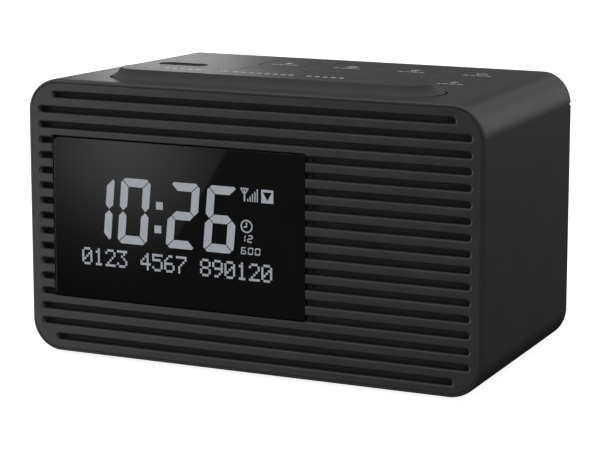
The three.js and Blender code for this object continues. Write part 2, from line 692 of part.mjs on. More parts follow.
function rearCover() {
  const plate = caseBlock(REAR_RIM_WALL + GAP, [Y_COVER, Y_REAR]);
  const lipY = [Y_COVER - COVER.lipDepth, Y_COVER + 0.5];
  const lipCore = caseBlock(WALL + GAP + COVER.lipWall, [lipY[0] - 1, lipY[1] + 1]);
  const lip = caseBlock(WALL + GAP, lipY).subtract(lipCore);
  const through = [Y_COVER - 1, Y_REAR + 1];
  const screwHoles = COVER_SCREW_SPOTS.map(({ x, z }) => rodAlongY(x, z, CASE_SCREW.clear, through, 8));
  const screwSinks = COVER_SCREW_SPOTS.map(({ x, z }) => (
    rodAlongY(x, z, CASE_SCREW.head + GAP, [Y_REAR - CASE_SCREW.headDepth - 2 * GAP, Y_REAR + 1], 12)
  ));
  const vents = Array.from({ length: VENT.count }, (_, index) => {
    const outline = pillOutline(0, VENT.lowest + index * VENT.pitch, VENT.halfLength, VENT.height / 2);
    return plateAlongY(outline, through, 1);
  });
  const jackHalf = JACK.width / 2 + GAP;
  const jackZ = [MAIN_BOARD_TOP, MAIN_BOARD_TOP + JACK.height + 2 * GAP];
  const jackHole = block([JACK.x - jackHalf, JACK.x + jackHalf], through, jackZ);
  const glandSinkY = [Y_REAR - GLAND.flangeDepth - 2 * GAP, Y_REAR + 1];
  return cut(plate.add(lip), [
    ...screwHoles,
    ...screwSinks,
    ...vents,
    jackHole,
    rodAlongY(GLAND.x, GLAND.z, GLAND.neck + GAP, through, 12),
    rodAlongY(GLAND.x, GLAND.z, GLAND.flange + GAP, glandSinkY, 12),
  ]);
}

function antennaGland() {
  const outer = Y_REAR - GAP;
  const inner = Y_COVER - GAP;
  const { bore, neck, flange, flangeDepth } = GLAND;
  return turnedAlongY([
    [bore, inner - flangeDepth], [flange, inner - flangeDepth], [flange, inner], [neck, inner],
    [neck, outer - flangeDepth], [flange, outer - flangeDepth], [flange, outer], [bore, outer],
    [bore, inner - flangeDepth],
  ], GLAND.x, GLAND.z, 12);
}

// ---- Inner wiring ----

function ribbonAlong(points, x, thickness) {
  const curve = new THREE.CatmullRomCurve3(points.map(([y, z]) => new THREE.Vector3(y, z, 0)));
  const samples = curve.getPoints(9);
  const side = (sign) => samples.map((point, index) => {
    const tangent = curve.getTangent(index / (samples.length - 1));
    const offset = sign * thickness / 2;
    return new THREE.Vector2(point.x - tangent.y * offset, point.y + tangent.x * offset);
  });
  const outline = new THREE.Shape([...side(-1), ...side(1).reverse()]);
  const geometry = extrude(outline, x[1] - x[0], 1);
  geometry.applyMatrix4(new THREE.Matrix4().set(0, 0, 1, x[0], 1, 0, 0, 0, 0, 1, 0, 0, 0, 0, 0, 1));
  return solid(geometry);
}

function keyRibbon() {
  const low = MAIN_BOARD_TOP + HEADER.height + GAP;
  const high = KEY_BOARD.top - KEY_BOARD.thickness - GAP;
  const route = [[38.5, low], [38.5, low + 12], [33, Z_MID], [38.5, high - 14], [38.5, high]];
  return ribbonAlong(route, [-49, -37], 0.6);
}

function displayRibbon() {
  const start = Y_LIGHT + DISPLAY.light + GAP;
  const z = VIEW.low + 2;
  const end = MAIN_BOARD_TOP + HEADER.height + GAP;
  return ribbonAlong([[start, z], [start + 7, z - 1], [-19, z - 8], [-18, end]], [-38, -10], 0.5);
}

function wire(points) {
  const curve = new THREE.CatmullRomCurve3(points.map((point) => new THREE.Vector3(...point)));
  const section = new THREE.Shape();
  section.absarc(0, 0, 0.8, 0, Math.PI * 2);
  return solid(new THREE.ExtrudeGeometry(section, {
    steps: 12,
    curveSegments: 3,
    bevelEnabled: false,
    extrudePath: curve,
  }));
}

function speakerLead(x) {
  const low = MAIN_BOARD_TOP + HEADER.height + GAP;
  return wire([
    [x, Y_MAGNET - 6, Z_MID - 25], [x, Y_MAGNET - 3, Z_MID - 28],
    [x - 3, -12, Z_MID - 29], [x - 8, -7.5, low + 5], [x - 8, -7.5, low],
  ]);
}

// ---- Screws ----

function rearScrew(spot) {
  return screwAlongY(spot, CASE_SCREW, Y_REAR - GAP, COVER_POST.start + 4);
}

function grilleScrew(spot) {
  const headY = Y_BAFFLE_BACK + GAP + SMALL_SCREW.headDepth;
  return screwAlongY(spot, SMALL_SCREW, headY, Y_FRONT + 1.8);
}

function baffleScrew(spot) {
  return screwAlongY(spot, SCREW, Y_BAFFLE, BAFFLE_POST.end - 2);
}

function mainBoardScrew(spot) {
  const headZ = MAIN_BOARD_TOP + GAP + SCREW.headDepth;
  return screwAlongZ(spot, SCREW, headZ, Z_FLOOR + 1.5);
}

function keyBoardScrew(spot) {
  const headZ = KEY_BOARD.top - KEY_BOARD.thickness - GAP - SCREW.headDepth;
  return screwAlongZ(spot, SCREW, headZ, Z_CEILING - 2);
}

// ---- Assembly ----

const group = new THREE.Group();

function addNode(name, body, material) {
  const mesh = new THREE.Mesh(geometryOf(body), MATERIALS[material].clone());
  mesh.name = name;
  group.add(mesh);
}

function addScrews(name, spots, makeScrew) {
  spots.forEach((spot, index) => addNode(`${name}_${index + 1}`, makeScrew(spot), 'steel'));
}

addNode('cabinet', cabinet(), 'casePlastic');
addNode('front_grille', frontGrille(), 'grillePlastic');
addNode('grille_cloth', grilleCloth(), 'cloth');
addNode('baffle', baffle(), 'innerPlastic');
addNode('rear_cover', rearCover(), 'casePlastic');
addNode('display_window', displayWindow(), 'smokedWindow');
addNode('display_frame', displayFrame(), 'innerPlastic');
addNode('lcd_panel', lcdPanel(), 'glass');
addNode('backlight', backlight(), 'lightGuide');
addNode('snooze_bar', snoozeBar(), 'keyPlastic');
for (const { name, x, y } of KEY_PLACES) {
  addNode(name, key(x, y), 'keyPlastic');
}
addNode('sensor_lens', sensorLens(), 'smokedWindow');
addNode('key_board', keyBoard(), 'circuitBoard');
addNode('speaker_gasket', speakerGasket(), 'foam');
addNode('speaker_basket', speakerBasket(), 'steel');
addNode('speaker_magnet', speakerMagnet(), 'ferrite');
addNode('speaker_surround', surroundRoll(), 'rubber');
addNode('speaker_cone', speakerCone(), 'paper');
addNode('speaker_dust_cap', dustCap(), 'paper');
addNode('voice_coil', voiceCoil(), 'steel');
addNode('main_board', mainBoard(), 'circuitBoard');
addNode('tuner_module', tunerModule(), 'tinned');
addNode('dc_jack', dcJack(), 'switchBody');
addNode('antenna_gland', antennaGland(), 'rubber');
addNode('key_ribbon', keyRibbon(), 'ribbon');
addNode('display_ribbon', displayRibbon(), 'ribbon');
addNode('speaker_lead_positive', speakerLead(58), 'redWire');
addNode('speaker_lead_negative', speakerLead(54.5), 'switchBody');
addScrews('rear_screw', COVER_SCREW_SPOTS, rearScrew);
addScrews('grille_screw', GRILLE_SCREW_SPOTS, grilleScrew);
addScrews('baffle_screw', BAFFLE_SCREW_SPOTS, baffleScrew);
addScrews('main_board_screw', MAIN_BOARD_SCREW_SPOTS, mainBoardScrew);
addScrews('key_board_screw', KEY_BOARD_SCREW_SPOTS, keyBoardScrew);
for (const { name, x, y } of FOOT_PLACES) {
  addNode(name, rodAlongZ(x, y, FOOT.radius, [0, FOOT.drop + FOOT.sunk], 16), 'rubber');
}

export default group;
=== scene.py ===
"""Visual model of a tabletop clock radio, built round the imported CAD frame.

Shapes are worked out in millimetres in the row frame and turned into metres when a mesh is made.
"""
import math

import bmesh
import bpy
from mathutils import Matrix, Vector


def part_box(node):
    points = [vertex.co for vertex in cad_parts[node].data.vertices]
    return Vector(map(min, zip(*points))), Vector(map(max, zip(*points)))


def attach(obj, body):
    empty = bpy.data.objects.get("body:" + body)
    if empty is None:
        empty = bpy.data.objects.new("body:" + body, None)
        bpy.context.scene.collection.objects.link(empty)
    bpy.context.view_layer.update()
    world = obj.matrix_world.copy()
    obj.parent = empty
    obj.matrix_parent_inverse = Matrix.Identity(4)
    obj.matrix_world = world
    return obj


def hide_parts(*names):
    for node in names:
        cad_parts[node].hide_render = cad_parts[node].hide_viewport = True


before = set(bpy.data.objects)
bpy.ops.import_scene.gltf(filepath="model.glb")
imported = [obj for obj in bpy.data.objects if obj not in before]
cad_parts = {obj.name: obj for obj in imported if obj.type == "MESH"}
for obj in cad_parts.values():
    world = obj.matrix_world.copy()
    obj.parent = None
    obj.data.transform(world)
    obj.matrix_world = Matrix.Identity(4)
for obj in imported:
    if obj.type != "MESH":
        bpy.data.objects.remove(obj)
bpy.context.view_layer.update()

MM = 0.001


def box_mm(node):
    """Lowest and highest corner of a CAD node, in millimetres."""
    low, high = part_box(node)
    return low / MM, high / MM


def centre_mm(node):
    low, high = box_mm(node)
    return (low + high) / 2


# ---- Driving dimensions, millimetres ----

FRONT_WIDTH = 180.6
REAR_WIDTH = 168.6
CORNER_RADIUS = 12
CASE_LOW, CASE_HIGH = box_mm("cabinet")
Y_FRONT, Y_REAR = CASE_LOW.y, CASE_HIGH.y
Z_BOTTOM, Z_TOP = CASE_LOW.z, CASE_HIGH.z
Z_MID = (Z_BOTTOM + Z_TOP) / 2
WALL = 2.4
RIM_WALL = 1.25
REAR_RIM_WALL = 1.4
FRONT_EDGE = (3.2, 0.55)
REAR_EDGE = (1.4, 0.6)
CORNER_STEPS = 20
FACE_SEAM = 0.06
KEY_GAP = 0.38
CLEARANCE = 0.3
TOP_CUT_END = Z_TOP - 6

GRILLE_BACK = Y_FRONT + 2.6
SLOT_COUNT = 17
SLOT_PITCH = 5.68
SLOT_TOP = Z_TOP - 5.75
SLOT_THROAT = 0.95
SLOT_LIP = 0.9
SLOT_HALF = 85.55
SLOT_END_HALF = 79.55

WINDOW_LOW, WINDOW_HIGH = box_mm("display_window")
WINDOW_LIP = 0.45
WINDOW_RADIUS = 2.4
WINDOW_INNER_RADIUS = 0.6
RIB_WIDTH = 1.6
RIB_RECESS = 2.1

KEY_WIDTH, KEY_LENGTH, KEY_RADIUS = 18.8, 20.8, 3
SNOOZE_SPINE, SNOOZE_Y, SNOOZE_BASE, SNOOZE_TOP = 53, -29, 12.7, 9.3
SNOOZE_HIGH = box_mm("snooze_bar")[1].z
FLANGE_LOW, FLANGE_HIGH, FLANGE_GROW = Z_TOP - 4, Z_TOP - 2.7, 1.2

COVER_THICKNESS, COVER_LIP_DEPTH = 2.5, 3
Y_COVER = Y_REAR - COVER_THICKNESS
NOTCH_HALF, NOTCH_DEPTH, NOTCH_LENGTH = 0.45, 0.7, 5
NOTCH_Z = Z_BOTTOM + 90.3
VENT_COUNT, VENT_PITCH, VENT_HALF, VENT_RADIUS, VENT_LOWEST = 6, 6, 24, 1, Z_MID + 8
SCREW_HEAD, SCREW_HEAD_DEPTH, SCREW_SHANK = 2.8, 1.5, 1.2
FOOT_RADIUS = 7
CORNERS = ("front_left", "front_right", "rear_left", "rear_right")


def narrowing(y):
    return 1 - (1 - REAR_WIDTH / FRONT_WIDTH) * (y - Y_FRONT) / (Y_REAR - Y_FRONT)


# ---- Outlines: lists of points in a plane, counter-clockwise ----


def arc(centre, radius, start, end, steps):
    turn = [math.radians(start + (end - start) * i / steps) for i in range(steps + 1)]
    return [(centre[0] + radius * math.cos(a), centre[1] + radius * math.sin(a)) for a in turn]


def rounded(left, right, low, high, radius, steps=CORNER_STEPS):
    """Rectangle with rounded corners. A pair of radii holds the left and the right one."""
    at_left, at_right = radius if isinstance(radius, tuple) else (radius, radius)
    corners = (
        (right - at_right, low + at_right, at_right, -90),
        (right - at_right, high - at_right, at_right, 0),
        (left + at_left, high - at_left, at_left, 90),
        (left + at_left, low + at_left, at_left, 180),
    )
    return [p for x, y, r, start in corners for p in arc((x, y), r, start, start + 90, steps)]


def pill(x, y, spine, radius, steps=24):
    right = arc((x + spine, y), radius, -90, 90, steps)
    return right + arc((x - spine, y), radius, 90, 270, steps)


def circle(x, y, radius, steps=48):
    return arc((x, y), radius, 0, 360, steps)[:-1]


def case_outline(inset):
    half = FRONT_WIDTH / 2 - inset
    return rounded(-half, half, Z_BOTTOM + inset, Z_TOP - inset, CORNER_RADIUS - inset)


# ---- Meshes ----


def across_y(points, y, tapered=False):
    scale = narrowing(y) if tapered else 1
    return [(x * scale, y, z) for x, z in points]


def across_z(points, z):
    return [(x, y, z) for x, y in points]


def new_object(name, mesh):
    made = bpy.data.objects.new(name, mesh)
    bpy.context.scene.collection.objects.link(made)
    return made


def mesh_of(name, points, faces):
    """Object from points in millimetres, with its faces turned outwards."""
    mesh = bpy.data.meshes.new(name)
    mesh.from_pydata([(x * MM, y * MM, z * MM) for x, y, z in points], [], faces)
    work = bmesh.new()
    work.from_mesh(mesh)
    bmesh.ops.recalc_face_normals(work, faces=work.faces)
    work.to_mesh(mesh)
    work.free()
    return new_object(name, mesh)


def loft(name, rings, closed=False):
    """Skin over rings of equal length. An open loft gets a cap at each end."""
    count = len(rings[0])
    last = len(rings) if closed else len(rings) - 1
    faces = []
    for i in range(last):
        a, b = i * count, (i + 1) % len(rings) * count
        for j in range(count):
            k = (j + 1) % count
            faces.append((a + j, a + k, b + k, b + j))
    if not closed:
        faces.append(tuple(range(count)))
        faces.append(tuple(range((len(rings) - 1) * count, len(rings) * count)))
    return mesh_of(name, [p for ring in rings for p in ring], faces)


def turned(name, profile, x, z, steps):
    """Solid of revolution about an axis along Y; profile holds (radius, y)."""
    return loft(name, [across_y(circle(x, z, radius, steps), y) for radius, y in profile])


def block(name, x, y, z):
    outline = [(x[0], z[0]), (x[1], z[0]), (x[1], z[1]), (x[0], z[1])]
    return loft(name, [across_y(outline, level) for level in y])


def bake(made):
    """Applies the modifiers of an object to its mesh."""
    bpy.context.view_layer.update()
    graph = bpy.context.evaluated_depsgraph_get()
    mesh = bpy.data.meshes.new_from_object(made.evaluated_get(graph))
    old = made.data
    made.modifiers.clear()
    made.data = mesh
    bpy.data.meshes.remove(old)
    mesh.name = made.name


def combine(made, tools, operation):
    for tool in tools:
        modifier = made.modifiers.new("combine", "BOOLEAN")
        modifier.operation = operation
        modifier.solver = "MANIFOLD"
        modifier.object = tool
    bake(made)
    for tool in tools:
        mesh = tool.data
        bpy.data.objects.remove(tool, do_unlink=True)
        bpy.data.meshes.remove(mesh)
    return made


def cut(made, tools):
    return combine(made, tools, "DIFFERENCE")


def join(made, tools):
    return combine(made, tools, "UNION")


CREASE_DEGREES = 32


def smooth(made):
    """Smooth shading with flat faces kept flat and the stronger creases kept sharp."""
    made.data.polygons.foreach_set("use_smooth", [True] * len(made.data.polygons))
    made.data.set_sharp_from_angle(angle=math.radians(CREASE_DEGREES))
    weighted = made.modifiers.new("weighted", "WEIGHTED_NORMAL")
    weighted.keep_sharp = True
    return made


def fillet(radius, steps=4):
    """(outwards, inwards) pairs from the face of an opening into its wall."""
    turn = [math.pi / 2 * i / steps for i in range(steps + 1)]
    return [(radius * (1 - math.sin(a)), radius * (1 - math.cos(a))) for a in turn]


def opening_y(name, outline, lip, face, end):
    """Tool that cuts an opening with a rounded lip into a face seen along Y."""
    inward = math.copysign(1, end - face)
    rings = [across_y(outline(lip), face - inward)]
    rings += [across_y(outline(grow), face + inward * depth) for grow, depth in fillet(lip)]
    return loft(name, rings + [across_y(outline(0), end)])


def opening_z(name, outline, lip, face, end):
    rings = [across_z(outline(lip), face + 1)]
    rings += [across_z(outline(grow), face - depth) for grow, depth in fillet(lip, 3)]
    return loft(name, rings + [across_z(outline(0), end)])


# ---- Materials ----


def fill_ramp(node, stops):
    """Sets a colour ramp; stops hold (place, colour or grey value)."""
    elements = node.color_ramp.elements
    while len(elements) < len(stops):
        elements.new(0.5)
    for element, (place, colour) in zip(elements, stops):
        element.position = place
        element.color = colour if isinstance(colour, tuple) else (colour,) * 3 + (1,)


class Shader:
    """A Principled material and a few ways to add nodes to it."""

    def __init__(self, name, **values):
        self.material = bpy.data.materials.new(name)
        self.material.use_nodes = True
        self.tree = self.material.node_tree
        self.shader = self.tree.nodes["Principled BSDF"]
        self.set(self.shader, **values)
        self.place = self.node("ShaderNodeTexCoord").outputs["Object"]

    def node(self, kind, **values):
        made = self.tree.nodes.new(kind)
        self.set(made, **values)
        return made

    def set(self, node, **values):
        for key, value in values.items():
            socket = node.inputs.get(key.replace("_", " "))
            if socket is None:
                setattr(node, key, value)
            else:
                socket.default_value = value

    def link(self, source, target):
        self.tree.links.new(source, target)

    def noise(self, size, detail, stretch=(1, 1, 1), roughness=0.5):
        """Noise with features about size millimetres across."""
        mapping = self.node("ShaderNodeMapping", Scale=stretch)
        self.link(self.place, mapping.inputs["Vector"])
        made = self.node("ShaderNodeTexNoise", Scale=1 / (size * MM), Detail=detail, Roughness=roughness)
        self.link(mapping.outputs["Vector"], made.inputs["Vector"])
        return made.outputs["Fac"]

    def ramp(self, source, stops):
        """Colour or grey value against a 0 to 1 source."""
        made = self.node("ShaderNodeValToRGB")
        fill_ramp(made, stops)
        self.link(source, made.inputs["Fac"])
        return made.outputs["Color"]

    def product(self, a, b):
        made = self.node("ShaderNodeMath", operation="MULTIPLY")
        self.link(a, made.inputs[0])
        self.link(b, made.inputs[1])
        return made.outputs[0]

    def wave(self, direction, pitch):
        """Even stripes across a direction, pitch millimetres apart."""
        made = self.node("ShaderNodeTexWave", bands_direction=direction, Scale=1 / (pitch * MM * math.pi))
        self.link(self.place, made.inputs["Vector"])
        return made.outputs["Fac"]

    def bump(self, height, strength, distance):
        """Bump from a 0 to 1 height; distance is its depth in millimetres."""
        made = self.node("ShaderNodeBump", Strength=strength, Distance=distance * MM)
        self.link(height, made.inputs["Height"])
        if self.shader.inputs["Normal"].is_linked:
            self.link(self.shader.inputs["Normal"].links[0].from_socket, made.inputs["Normal"])
        self.link(made.outputs["Normal"], self.shader.inputs["Normal"])

    def colour(self, source):
        self.link(source, self.shader.inputs["Base Color"])

    def roughness(self, source):
        self.link(source, self.shader.inputs["Roughness"])


def srgb(code):
    """Linear colour of a 0xRRGGBB value."""
    parts = [(code >> shift & 255) / 255 for shift in (16, 8, 0)]
    linear = [c / 12.92 if c <= 0.04045 else ((c + 0.055) / 1.055) ** 2.4 for c in parts]
    return (*linear, 1)


def moulded(name, dark, light, roughness, grain, depth, **values):
    """Moulded plastic: a fine even texture, a faint drift of tone and of gloss."""
    made = Shader(name, **values)
    made.colour(made.ramp(made.noise(9, 4), [(0.35, srgb(dark)), (0.65, srgb(light))]))
    low, high = roughness
    made.roughness(made.ramp(made.noise(3, 5), [(0.3, low), (0.7, high)]))
    made.bump(made.noise(grain, 3), 0.5, depth)
    return made.material


def flecked(name, dark, light, size, roughness, depth):
    """Matt stuff with a visible mottle, such as rubber, foam, paper or ferrite."""
    made = Shader(name)
    mottle = made.noise(size, 5, roughness=0.65)
    made.colour(made.ramp(mottle, [(0.38, srgb(dark)), (0.62, srgb(light))]))
    made.roughness(made.ramp(mottle, [(0.3, roughness - 0.06), (0.7, roughness + 0.06)]))
    made.bump(mottle, 0.6, depth)
    return made.material


def brushed(name, dark, light, roughness, stretch):
    """Bare metal with fine lines along one direction."""
    made = Shader(name, Metallic=1.0)
    lines = made.noise(0.5, 4, stretch)
    made.colour(made.ramp(lines, [(0.3, srgb(dark)), (0.7, srgb(light))]))
    made.roughness(made.ramp(lines, [(0.3, roughness - 0.08), (0.7, roughness + 0.08)]))
    made.bump(lines, 0.3, 0.02)
    return made.material


def striped(name, first, second, pitch, direction, roughness, **values):
    """Even stripes, such as the conductors of a flat cable or the turns of a coil."""
    made = Shader(name, **values)
    stripes = made.wave(direction, pitch)
    made.colour(made.ramp(stripes, [(0.35, srgb(first)), (0.65, srgb(second))]))
    made.roughness(made.ramp(made.noise(1.5, 4), [(0.3, roughness - 0.05), (0.7, roughness + 0.05)]))
    made.bump(stripes, 0.5, 0.06)
    return made.material


def woven(name, dark, light, pitch):
    """Plain weave from two crossed waves."""
    made = Shader(name, Specular_IOR_Level=0.2)
    weave = made.product(made.wave("X", pitch), made.wave("Z", pitch))
    made.colour(made.ramp(weave, [(0.1, srgb(dark)), (0.7, srgb(light))]))
    made.roughness(made.ramp(made.noise(0.4, 3), [(0.3, 0.86), (0.7, 0.97)]))
    made.bump(weave, 0.8, 0.12)
    return made.material


def board_green(name):
    """Circuit board: solder mask over etched tracks."""
    made = Shader(name)
    cells = made.node("ShaderNodeTexVoronoi", feature="DISTANCE_TO_EDGE", Scale=260.0)
    made.link(made.place, cells.inputs["Vector"])
    tracks = made.ramp(cells.outputs["Distance"], [(0.03, 1.0), (0.06, 0.0)])
    made.colour(made.ramp(tracks, [(0.0, srgb(0x174A2A)), (1.0, srgb(0x2A6B41))]))
    made.roughness(made.ramp(made.noise(2, 4), [(0.3, 0.28), (0.7, 0.4)]))
    made.bump(tracks, 0.4, 0.04)
    return made.material


def gloss_black(name):
    """Polished smoked acrylic, nearly black, with a faint ripple and a little dust."""
    made = Shader(name)
    made.colour(made.ramp(made.noise(20, 3), [(0.3, srgb(0x0C0C0D)), (0.7, srgb(0x0F0F10))]))
    dust = made.noise(0.5, 6, roughness=0.8)
    made.roughness(made.ramp(dust, [(0.35, 0.012), (0.8, 0.04)]))
    made.bump(made.noise(30, 2), 0.1, 0.015)
    return made.material


def lit_segment(name, colour, strength):
    """Pale LCD segment lit from behind, with a faint drift of tone."""
    made = Shader(name, Emission_Strength=strength)
    drift = made.noise(4, 3)
    made.colour(made.ramp(drift, [(0.3, srgb(0x777B80)), (0.7, srgb(0x83878D))]))
    glow = made.ramp(drift, [(0.3, srgb(colour)), (0.7, srgb(colour + 0x060606))])
    made.link(glow, made.shader.inputs["Emission Color"])
    made.roughness(made.ramp(made.noise(1, 3), [(0.3, 0.3), (0.7, 0.4)]))
    return made.material


CASE = moulded("case_black", 0x29292A, 0x2D2D2E, (0.36, 0.40), 0.3, 0.010)
FRONT = moulded("front_black", 0x2B2B2C, 0x2F2F30, (0.36, 0.44), 0.3, 0.010)
KEYS = moulded("key_black", 0x2A2A2B, 0x2E2E2F, (0.36, 0.40), 0.3, 0.008, Specular_IOR_Level=0.4)
INNER = moulded("inner_black", 0x151516, 0x1B1B1C, (0.55, 0.65), 0.5, 0.015)
PORT = moulded("port_black", 0x18181A, 0x1E1E20, (0.4, 0.5), 0.4, 0.008)
GLASS = gloss_black("smoked_window")
LENS = moulded("sensor_filter", 0x09090A, 0x0C0C0D, (0.55, 0.65), 1, 0.004, Specular_IOR_Level=0.12)
LCD = moulded("lcd_glass", 0x181C20, 0x20262B, (0.08, 0.12), 3, 0.004)
GUIDE = moulded("light_guide", 0xD6DCDE, 0xE4E9EA, (0.35, 0.45), 1, 0.01)
RUBBER = flecked("rubber", 0x101011, 0x171718, 0.4, 0.82, 0.03)
FOAM = flecked("foam", 0x171719, 0x262628, 0.8, 0.92, 0.15)
PAPER = flecked("cone_paper", 0x161514, 0x24221F, 0.7, 0.86, 0.06)
FERRITE = flecked("ferrite", 0x222123, 0x302F31, 0.5, 0.68, 0.03)
WIRE_RED = flecked("wire_red", 0x83201C, 0x93251F, 1.2, 0.45, 0.01)
WIRE_BLACK = flecked("wire_black", 0x18181A, 0x202022, 1.2, 0.45, 0.01)
STEEL = brushed("zinc_steel", 0x86888B, 0xA2A4A7, 0.34, (6, 1, 1))
TIN = brushed("tin_plate", 0xA9ACB0, 0xC2C5C8, 0.3, (1, 8, 1))
SCREW_STEEL = brushed("black_zinc", 0x3A3A3C, 0x55565A, 0.38, (5, 5, 1))
COPPER = striped("coil_copper", 0x7A3F1E, 0xB8693A, 0.3, "Y", 0.32, Metallic=1.0)
RIBBON = striped("ribbon", 0x9A9CA0, 0xC2C4C8, 1.0, "X", 0.5)
CLOTH = woven("grille_cloth", 0x2A2A2C, 0x48484A, 0.5)
BOARD = board_green("circuit_board")
SEGMENT = lit_segment("lcd_segment", 0xA6ABB2, 0.48)
INK = flecked("legend_ink", 0xC4C4C4, 0xD6D6D6, 0.3, 0.6, 0.004)


def paint(made, *materials):
    made.data.materials.clear()
    for material in materials:
        made.data.materials.append(material)
    return made


def piece(made, body, node=None):
    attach(made, body)
    if node:
        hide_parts(node)
    return made


# ---- Camera: the viewing angle of the picture ----

AZIMUTH, ELEVATION, DISTANCE = math.radians(26.203), math.radians(10.563), 0.88
AIM = Vector((-0.00492, 0.00191, 0.04615))
LENS_LENGTH, SENSOR_WIDTH = 140.1, 36


def look(azimuth, elevation):
    """Direction from a viewer towards the radio."""
    level = math.cos(elevation)
    return Vector((-math.sin(azimuth) * level, math.cos(azimuth) * level, -math.sin(elevation)))


def make_camera():
    data = bpy.data.cameras.new("camera")
    data.lens = LENS_LENGTH
    data.sensor_width = SENSOR_WIDTH
    data.clip_start, data.clip_end = 0.01, 50
    camera = bpy.data.objects.new("camera", data)
    bpy.context.scene.collection.objects.link(camera)
    ahead = look(AZIMUTH, ELEVATION)
    camera.location = AIM - ahead * DISTANCE
    camera.rotation_euler = ahead.to_track_quat("-Z", "Y").to_euler()
    bpy.context.scene.camera = camera


make_camera()

# ---- Cabinet ----

EDGE_STEPS = 8


def edge_profile(y_face, inward, edge):
    """(inset, y) from the end face of the sleeve round its outer edge."""
    along, inset = edge
    turn = [math.pi / 2 * i / EDGE_STEPS for i in range(EDGE_STEPS + 1)]
    return [(inset * (1 - math.sin(a)), y_face + inward * along * (1 - math.cos(a))) for a in turn]


def make_cabinet():
    """Closed sleeve: its section from the inside of the front rim round the outside to the rear rim."""
    front_step = box_mm("baffle")[1].y + CLEARANCE
    rear_step = Y_COVER - CLEARANCE
    lip = 0.12
    profile = [(WALL, front_step), (RIM_WALL, front_step)]
    profile += [(RIM_WALL, Y_FRONT + lip), (RIM_WALL - lip, Y_FRONT)]
    profile += edge_profile(Y_FRONT, 1, FRONT_EDGE)
    profile += list(reversed(edge_profile(Y_REAR, -1, REAR_EDGE)))
    profile += [(REAR_RIM_WALL - lip, Y_REAR), (REAR_RIM_WALL, Y_REAR - lip)]
    profile += [(REAR_RIM_WALL, rear_step), (WALL, rear_step)]
    rings = [across_y(case_outline(inset), y, True) for inset, y in profile]
    return loft("cabinet_shell", rings, closed=True)


def key_outline(x, y, grow):
    width, length = KEY_WIDTH / 2 + grow, KEY_LENGTH / 2 + grow
    return rounded(x - width, x + width, y - length, y + length, KEY_RADIUS + grow, 8)


KEYS_BY_BODY = {
    "alarm_1_key": "alarm_1_button",
    "alarm_2_key": "alarm_2_button",
    "minus_key": "minus_button",
    "plus_key": "plus_button",
    "source_key": "source_button",
    "menu_key": "menu_button",
    "sleep_key": "sleep_button",
    "power_key": "power_button",
}


LENS_FLANGE = 1


def lens_outline(grow):
    """Outline of the sensor window, whose hidden flange stands out all round."""
    low, high = box_mm("sensor_lens")
    middle = (low + high) / 2
    radius = (high.y - low.y) / 2 - LENS_FLANGE
    spine = (high.x - low.x) / 2 - LENS_FLANGE - radius
    return pill(middle.x, middle.y, spine, radius + grow)


def cabinet():
    shell = make_cabinet()
    tools = []

    def open_top(outline, lip):
        tools.append(opening_z("tool", outline, lip, Z_TOP, TOP_CUT_END))

    for node in KEYS_BY_BODY.values():
        x, y, _ = centre_mm(node)
        open_top(lambda g: key_outline(x, y, KEY_GAP + g), 0.25)
    open_top(lambda g: pill(0, SNOOZE_Y, SNOOZE_SPINE + 0.7, SNOOZE_BASE + 0.12 + g), 0.15)
    open_top(lambda g: lens_outline(0.2 + g), 0.2)
    for corner in CORNERS:
        x, y, _ = centre_mm("foot_" + corner)
        rings = [across_z(circle(x, y, FOOT_RADIUS + 0.2), z) for z in (Z_BOTTOM - 1, Z_BOTTOM + 1.1)]
        tools.append(loft("tool", rings))
    for side in (-1, 1):
        x = sorted((side * (REAR_WIDTH / 2 - NOTCH_DEPTH), side * (REAR_WIDTH / 2 + 3)))
        z = (NOTCH_Z - NOTCH_HALF, NOTCH_Z + NOTCH_HALF)
        tools.append(block("tool", x, (Y_REAR - NOTCH_LENGTH, Y_REAR + 1), z))
    cut(shell, tools)
    return piece(smooth(paint(shell, CASE)), "radio", "cabinet")


cabinet()

# ---- Front grille ----


def front_grille():
    """Plate with long round-ended slots, an opening for the display and a rib along its right edge."""
    inset = RIM_WALL + FACE_SEAM
    lip = 0.3
    rings = [across_y(case_outline(inset + a), Y_FRONT + b, True) for a, b in fillet(lip)]
    rings.append(across_y(case_outline(inset), GRILLE_BACK, True))
    plate = loft("grille_plate", rings)
    tools = []

    def open_front(outline, lip):
        tools.append(opening_y("tool", outline, lip, Y_FRONT, GRILLE_BACK + 1))

    for index in range(SLOT_COUNT):
        z = SLOT_TOP - index * SLOT_PITCH
        spine = (SLOT_END_HALF if index in (0, SLOT_COUNT - 1) else SLOT_HALF) - SLOT_THROAT
        open_front(lambda g: pill(0, z, spine, SLOT_THROAT + g, 16), SLOT_LIP)
    left, right = WINDOW_LOW.x - 0.5, WINDOW_HIGH.x + 0.08
    low, high = WINDOW_LOW.z - 0.5, WINDOW_HIGH.z + 0.4
    open_front(lambda g: rounded(left - g, right + g, low - g, high + g, 0.4 + g, 4), WINDOW_LIP)
    cut(plate, tools)
    rib = block("rib", (right - 0.05, right + RIB_WIDTH), (Y_FRONT + RIB_RECESS, GRILLE_BACK), (low, high))
    join(plate, [rib])
    return piece(smooth(paint(plate, FRONT)), "radio", "front_grille")


front_grille()

# ---- Display window ----


